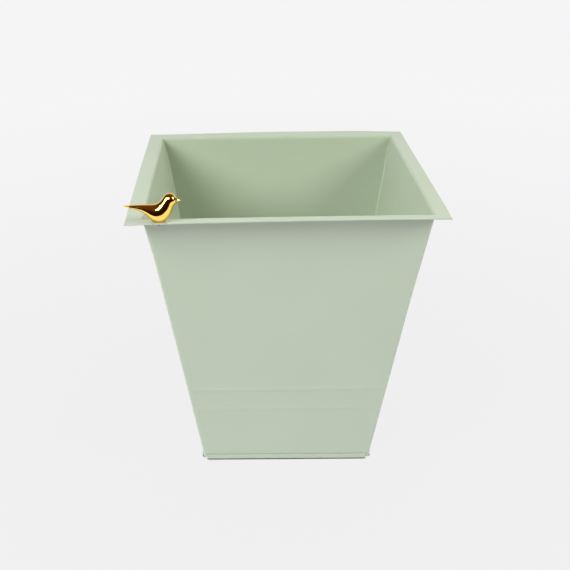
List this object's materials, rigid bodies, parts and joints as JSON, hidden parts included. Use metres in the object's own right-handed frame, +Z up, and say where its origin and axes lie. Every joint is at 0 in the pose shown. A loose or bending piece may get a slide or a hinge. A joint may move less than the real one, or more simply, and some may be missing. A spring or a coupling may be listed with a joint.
{
  "type": "florist bucket",
  "caption": "Tapered square sheet-metal florist bucket with an out-turned rim flange, hemmed base, raised floor tray and a small cast bird screwed to one corner of the rim.",
  "frame": {"origin": "centre of the square base, on the ground plane under the hems", "axes": "+Z up; -Y is the front wall; +X to the right seen from the front, so the bird stands at the -X end of the front flange"},
  "size_m": [0.302, 0.3, 0.3275],
  "materials": {
    "powder_coat": "satin sage green powder coat",
    "sealant": "smooth cured sealant, matt",
    "gold": "polished gold plating",
    "steel": "plain stainless steel"
  },
  "bodies": {
    "root": {"front_wall": "powder_coat", "back_wall": "powder_coat", "left_wall": "powder_coat", "right_wall": "powder_coat", "floor_tray": "powder_coat", "floor_seal": "sealant", "bird": "gold", "bird_screw": "steel", "bird_washer": "steel"}
  },
  "joints": []
}
